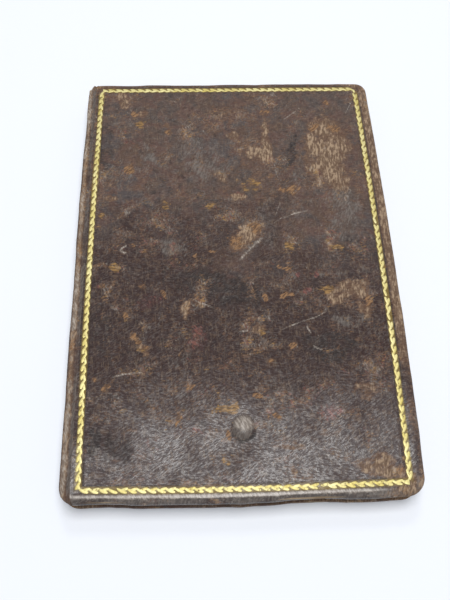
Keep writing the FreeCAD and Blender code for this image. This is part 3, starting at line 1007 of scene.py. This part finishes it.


# %% [markdown]
# ### Worn goatskin
# The leather was dyed dark brown and has faded unevenly. Where the surface is scuffed off, tan and rust
# coloured fibres show. Each kind of wear is a field on the mesh plus fine noise, cut by a step, which gives
# the crumbled outlines of real scuffs; the dark, grey and pale fields also carry painted shade and painted
# highlights. The grain is pebbles about a millimetre wide, a little stretched.

# %% Leather
leather_material, tree, shader = new_material("worn_goatskin")
place = add_node(tree, "ShaderNodeAttribute", attribute_name="rest").outputs["Vector"]
broad = noise(tree, place, 26.0, 2.0)
hue = noise(tree, place, 15.0, 3.0, distortion=1.0, shift=11.0)
patchy = noise(tree, place, 6.0, 4.0, distortion=0.6)
small = noise(tree, place, 2.2, 4.0, distortion=0.4)
fine = noise(tree, place, 0.62, 2.0)
streaky = noise(tree, place, 1.5, 2.0, stretch=(1.0, 2.8, 1.0), turn=32, distortion=0.3)
streaky_too = noise(tree, place, 1.4, 2.0, stretch=(1.0, 2.4, 1.0), turn=-8, distortion=0.3)
brushed = noise(tree, place, 3.0, 3.0, stretch=(6.0, 1.0, 1.0), turn=4, shift=5.0)
brushed_too = noise(tree, place, 3.0, 3.0, stretch=(1.0, 6.0, 1.0), turn=-6, shift=9.0)
grain_way = ramp(tree, noise(tree, place, 16.0, 1.0), 0.42, 0.58)
grain = between(tree, grain_way, streaky, streaky_too)

tone = mixed(tree, ramp(tree, hue, 0.40, 0.60), "#47362d", "#413a39")
# Each overlay: how much of it covers what is below, and its colour
for cover, colour in (
    (ramp(tree, broad, 0.45, 0.60, 0.0, 0.6), "#443934"),
    (ramp(tree, patchy, 0.42, 0.64), "#4e3a33"),
    # darker from the head towards the tail, by the deep field
    (math_node(tree, "MULTIPLY", field(tree, "deep"), 0.95), "#261614"),
    (ramp(tree, brushed, 0.54, 0.70, 0.0, 0.4), "#6d5d4d"),
    (ramp(tree, brushed_too, 0.56, 0.72, 0.0, 0.35), "#5d5350"),
    (ramp(tree, small, 0.52, 0.72, 0.0, 0.35), "#6a5747"),
    (ramp(tree, small, 0.30, 0.45, 0.5, 0.0), "#1b1413"),
):
    tone = mixed(tree, cover, tone, colour)
# Each layer: field, two colours, where the step starts and ends, the most that it covers, and the turn
# of its shreds in degrees
layers = (
    ("dark", "#1a1414", "#2a2220", 1.02, 1.44, 0.85, 20),
    ("tan", "#4f392e", "#6d5545", 0.98, 1.26, 0.65, 10),
    ("grey", "#4f4945", "#736c66", 1.02, 1.36, 0.5, 70),
    ("red", "#462c2b", "#704840", 1.14, 1.44, 0.8, 130),
    ("tan", "#5f4c3c", "#9c866f", 1.16, 1.60, 0.9, 84),
    ("rust", "#584232", "#89694b", 1.15, 1.46, 0.95, 40),
    ("straw", "#58442f", "#8f7047", 1.12, 1.42, 0.95, 8),
    ("pale", "#7d736a", "#b3aaa0", 1.10, 1.56, 0.6, 115),
)
busy = math_node(tree, "MULTIPLY_ADD", noise(tree, place, 11.0, 3.0, distortion=0.8, shift=3.0), 0.9, -0.45)
scuffed = 0.0
for number_of_kind, (kind, first, second, low, high, most, turn) in enumerate(layers):
    away = 37.0 * number_of_kind
    crumbs = noise(tree, place, 0.8, 3.0, shift=away)
    shreds = noise(tree, place, 2.2, 3.0, stretch=(1.0, 3.2, 1.0), turn=turn, shift=away)
    lumps = noise(tree, place, 3.6, 4.0, shift=away, distortion=0.8)
    amount = math_node(tree, "MULTIPLY_ADD", crumbs, 0.5, math_node(tree, "MULTIPLY", shreds, 0.7))
    amount = math_node(tree, "MULTIPLY_ADD", lumps, 0.7, amount)
    amount = math_node(tree, "MULTIPLY_ADD", field(tree, kind), 0.6, amount)
    amount = math_node(tree, "ADD", amount, busy)
    halo = ramp(tree, math_node(tree, "MULTIPLY_ADD", lumps, 0.8, field(tree, kind)), 0.50, 1.25, 0.0, 0.5)
    tone = mixed(tree, halo, tone, first)
    amount = ramp(tree, amount, low, high, 0.0, most)
    tone = mixed(tree, amount, tone, mixed(tree, ramp(tree, shreds, 0.40, 0.62), first, second))
    if kind in ("tan", "rust", "straw"):
        scuffed = math_node(tree, "MAXIMUM", scuffed, amount)
sheen = field(tree, "sheen")
grain_and_fine = math_node(tree, "MULTIPLY_ADD", grain, 0.6, math_node(tree, "MULTIPLY", fine, 0.4))
# Pale glints painted on the grain's tops: a painted highlight, faint everywhere and strongest where the sheen
# field lies
grain_glint = ramp(tree, grain_and_fine, 0.54, 0.66)
specks = math_node(tree, "MULTIPLY", grain_glint, math_node(tree, "MULTIPLY_ADD", sheen, 0.25, 0.08))
tone = mixed(tree, specks, tone, "#a19a93")
tone = mixed(tree, math_node(tree, "MULTIPLY", field(tree, "gilt"), 0.8), tone, "#78642f")
tree.links.new(tone, shader.inputs["Base Color"])

dull = ramp(tree, grain, 0.35, 0.65, 0.92, 0.72)
glossy = ramp(tree, grain, 0.38, 0.60, 0.52, 0.22)
gloss = between(tree, sheen, dull, glossy)
gloss = math_node(tree, "MULTIPLY_ADD", scuffed, 0.22, gloss)
polish = field(tree, "polish")
polished_roughness = 0.24
gloss = between(tree, polish, gloss, polished_roughness)
uneven = math_node(tree, "MULTIPLY", grain, math_node(tree, "MULTIPLY_ADD", polish, -0.8, 1.0))
tree.links.new(gloss, shader.inputs["Roughness"])
raised = bump(tree, small, 0.08)
raised = bump(tree, uneven, 0.12, below=raised)
raised = bump(tree, fine, 0.03, below=raised)
tree.links.new(raised, shader.inputs["Normal"])
shader.inputs["Specular IOR Level"].default_value = 0.4
for piece in (front_skin, back_skin, spine_skin, front_joint, back_joint):
    piece.data.materials.append(leather_material)

# %% [markdown]
# ### Gold leaf
# Gold only microns thick lies on the leather, so it takes the leather's small waves, and where it is rubbed
# thin the brown shows through.

# %% Gold
gold, tree, shader = new_material("gold_leaf_on_leather")
place = add_node(tree, "ShaderNodeTexCoord").outputs["Object"]
rubbed_and_highlight = noise(tree, place, 0.9 * MM, 3.0)
leaf_colour = mixed(tree, ramp(tree, noise(tree, place, 14 * MM, 2.0), 0.35, 0.65), "#b3a86c", "#a79850")
leaf_colour = mixed(tree, ramp(tree, field(tree, "tone"), -0.5, 0.5, 0.0, 0.5), leaf_colour, "#cbc495")
rub = ramp(tree, rubbed_and_highlight, 0.60, 0.72)
leaf_colour = mixed(tree, rub, leaf_colour, "#7a6230")
outline = ramp(tree, field(tree, "rim"), 0.55, 0.95, 0.0, 0.9)
tree.links.new(mixed(tree, outline, leaf_colour, "#4a3c1a"), shader.inputs["Base Color"])
shine = math_node(tree, "SUBTRACT", 0.45, math_node(tree, "MULTIPLY", rub, 0.3))
tree.links.new(shine, shader.inputs["Metallic"])
tree.links.new(ramp(tree, rubbed_and_highlight, 0.3, 0.7, 0.45, 0.6), shader.inputs["Roughness"])
tree.links.new(bump(tree, rubbed_and_highlight, 0.05), shader.inputs["Normal"])
braid.data.materials.append(gold)

# %% [markdown]
# ### Paper, board, thread and iron
# These are matt and uneven in two colours. One function makes them; page edges get lines of painted shade
# between the sheets' own ridges.

# %% Plain finishes


def uneven_finish(name, colour, other, size_mm, roughness, depth_mm, metallic=0.0):
    """Two colours in clouds of one size, with specks a tenth of it and a slight tooth."""
    material, tree, shader = new_material(name)
    place = add_node(tree, "ShaderNodeTexCoord").outputs["Object"]
    clouds = noise(tree, place, size_mm * MM, 5.0, distortion=0.5)
    specks = noise(tree, place, size_mm * MM / 10, 3.0)
    tone = mixed(tree, ramp(tree, clouds, 0.38, 0.68), colour, other)
    tone = mixed(tree, ramp(tree, specks, 0.62, 0.75, 0.0, 0.5), tone, other)
    tree.links.new(tone, shader.inputs["Base Color"])
    tree.links.new(bump(tree, specks, depth_mm), shader.inputs["Normal"])
    shader.inputs["Roughness"].default_value = roughness
    shader.inputs["Metallic"].default_value = metallic
    return material, tree, shader


def age_paper(tree, shader, low, high):
    """Browns a sheet towards its edges, where air and hands reach it, and scatters foxing spots over it."""
    place = add_node(tree, "ShaderNodeTexCoord").outputs["Object"]
    parts = add_node(tree, "ShaderNodeSeparateXYZ", [(0, place)]).outputs
    inside = None
    for axis in (0, 1):
        middle, half = (high[axis] + low[axis]) / 2 * MM, (high[axis] - low[axis]) / 2 * MM
        off = math_node(tree, "ABSOLUTE", math_node(tree, "SUBTRACT", parts[axis], float(middle)), 0.0)
        gap = math_node(tree, "SUBTRACT", float(half), off)
        inside = gap if inside is None else math_node(tree, "MINIMUM", inside, gap)
    ragged = math_node(tree, "MULTIPLY_ADD", noise(tree, place, 7 * MM, 4.0), 10 * MM, inside)
    tone = shader.inputs["Base Color"].links[0].from_socket
    tone = mixed(tree, ramp(tree, ragged, 5 * MM, 20 * MM, 0.75, 0.0), tone, "#8a6b43")
    spots = noise(tree, place, 2.6 * MM, 2.0, shift=0.4)
    region = noise(tree, place, 30 * MM, 2.0, shift=0.7)
    foxed = math_node(tree, "MULTIPLY", ramp(tree, spots, 0.66, 0.74), ramp(tree, region, 0.45, 0.6))
    tone = mixed(tree, math_node(tree, "MULTIPLY", foxed, 0.7), tone, "#8a5a34")
    tree.links.new(tone, shader.inputs["Base Color"])


# Each finish: the CAD nodes that have it, two colours, the clouds' size in mm, roughness, tooth in mm and
# how metallic it is
finishes = {}
for name, nodes, *finish in (
    ("rag_paper_pages", ("text_block",), "#c9b78e", "#bda87c", 9, 0.85, 0.03, 0.0),
    ("foxed_end_paper", ("front_pastedown", "back_pastedown"), "#c4b189", "#b29b71", 11, 0.85, 0.03, 0.0),
    ("grey_pasteboard", ("front_board", "back_board"), "#8a7a64", "#6d5d49", 8, 0.9, 0.06, 0.0),
    ("glued_lining_paper", ("spine_lining",), "#a08b66", "#7a6444", 10, 0.8, 0.04, 0.0),
    ("forged_iron", ("cover_stud",), "#4a403a", "#6b4630", 3, 0.6, 0.05, 0.8),
    ("hemp_cord_fibre", ("sewing_cords",), "#a58c60", "#7d6641", 1.5, 0.85, 0.1, 0.0),
):
    material, tree, shader = uneven_finish(name, *finish)
    if name == "rag_paper_pages":
        age_paper(tree, shader, block_low, block_high)
    if name == "foxed_end_paper":
        age_paper(tree, shader, pastedown_low, pastedown_high)
    for node in nodes:
        finishes[node] = material

page_rim, tree, shader = uneven_finish("page_edges_dust_and_shade", "#cdb88e", "#a68e68", 16, 0.85, 0.02)
dust_and_sheet_shade = shader.inputs["Base Color"].links[0].from_socket
# Painted shade between the sheets: darker brown in the hollows between their ridges and on sheets that stand
# back
dust_and_sheet_shade = mixed(tree, ramp(tree, field(tree, "sheet"), 0.1, 0.8), "#8a7350", dust_and_sheet_shade)
tree.links.new(dust_and_sheet_shade, shader.inputs["Base Color"])
page_edges.data.materials.append(page_rim)

silk, tree, shader = new_material("headband_silk")
place = add_node(tree, "ShaderNodeTexCoord").outputs["Object"]
wave_length = 0.314  # of a wave texture whose scale is 1
winds, strands = (
    add_node(
        tree,
        "ShaderNodeTexWave",
        [(0, place)],
        bands_direction="Z",
        in_Scale=wave_length / (wide * MM),
        in_Distortion=uneven,
    ).outputs["Fac"]
    for wide, uneven in ((1.6, 0.4), (0.27, 0.0))
)
silk_tone = mixed(tree, ramp(tree, winds, 0.45, 0.55), "#8f3f2e", "#bda772")
tree.links.new(silk_tone, shader.inputs["Base Color"])
tree.links.new(bump(tree, strands, 0.08), shader.inputs["Normal"])
shader.inputs["Roughness"].default_value = 0.55

finishes["headband"] = finishes["tailband"] = silk
for node, material in finishes.items():
    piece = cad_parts[node]
    piece.data.materials.clear()
    piece.data.materials.append(material)
    print(node, "is finished as", material.name)

# %% [markdown]
# ## Floor and light
# The book lies on white paper. One wide soft lamp hangs over it: seen by the camera, its mirror image falls
# on the tail third of the cover, which is why the grain glistens there, with pale glints painted on the grain
# adding to it, and the rest is dull. A small lamp beyond the head lights the stud's head side, where a
# painted highlight adds to it.

# %% Floor
side = 700.0
floor_corners = np.array([(-side, -side, 0), (side, -side, 0), (side, side, 0), (-side, side, 0)])
floor = mesh_piece("floor", floor_corners, np.arange(4)[None, :])
floor.location.z = -0.0002
paper_floor, tree, shader = new_material("pale_paper_floor")
shader.inputs["Base Color"].default_value = linear("#e4e8ef")
shader.inputs["Roughness"].default_value = 0.95
shader.inputs["Specular IOR Level"].default_value = 0.1
floor.data.materials.append(paper_floor)

# %% World: dim for the light it gives, white where the camera or a reflection looks past the floor
world = bpy.data.worlds.new("soft_room")
bpy.context.scene.world = world
world.use_nodes = True
tree = world.node_tree
dim = tree.nodes["Background"]
dim.inputs[0].default_value = linear("#f4f6fa")
dim.inputs[1].default_value = 0.24
white = add_node(tree, "ShaderNodeBackground", in_Color=linear("#fbfcff"), in_Strength=1.0)
path = add_node(tree, "ShaderNodeLightPath").outputs
seen = math_node(tree, "ADD", path["Is Camera Ray"], path["Is Glossy Ray"])
seen = math_node(tree, "ADD", seen, path["Is Transmission Ray"])
choice = add_node(tree, "ShaderNodeMixShader", [(0, seen), (1, dim.outputs[0]), (2, white.outputs[0])])
tree.links.new(choice.outputs[0], tree.nodes["World Output"].inputs[0])

# %% Lamps


def soft_lamp(name, place, target, size, watts):
    """A square area lamp at a place, turned to a target."""
    data = bpy.data.lights.new(name, "AREA")
    data.shape = "RECTANGLE"
    data.size, data.size_y = size
    data.energy = watts
    lamp = bpy.data.objects.new(name, data)
    bpy.context.scene.collection.objects.link(lamp)
    lamp.location = place
    lamp.rotation_euler = (Vector(target) - Vector(place)).to_track_quat("-Z", "Y").to_euler()
    return lamp


soft_lamp("window", (0.05, 0.0, 1.4), (0, 0, 0), (0.85, 0.76), 20)
soft_lamp("far window", (0.0, 0.85, 1.25), (0, 0, 0), (0.3, 0.25), 2.5)

# %% Finish
bpy.context.scene.view_settings.view_transform = "Standard"
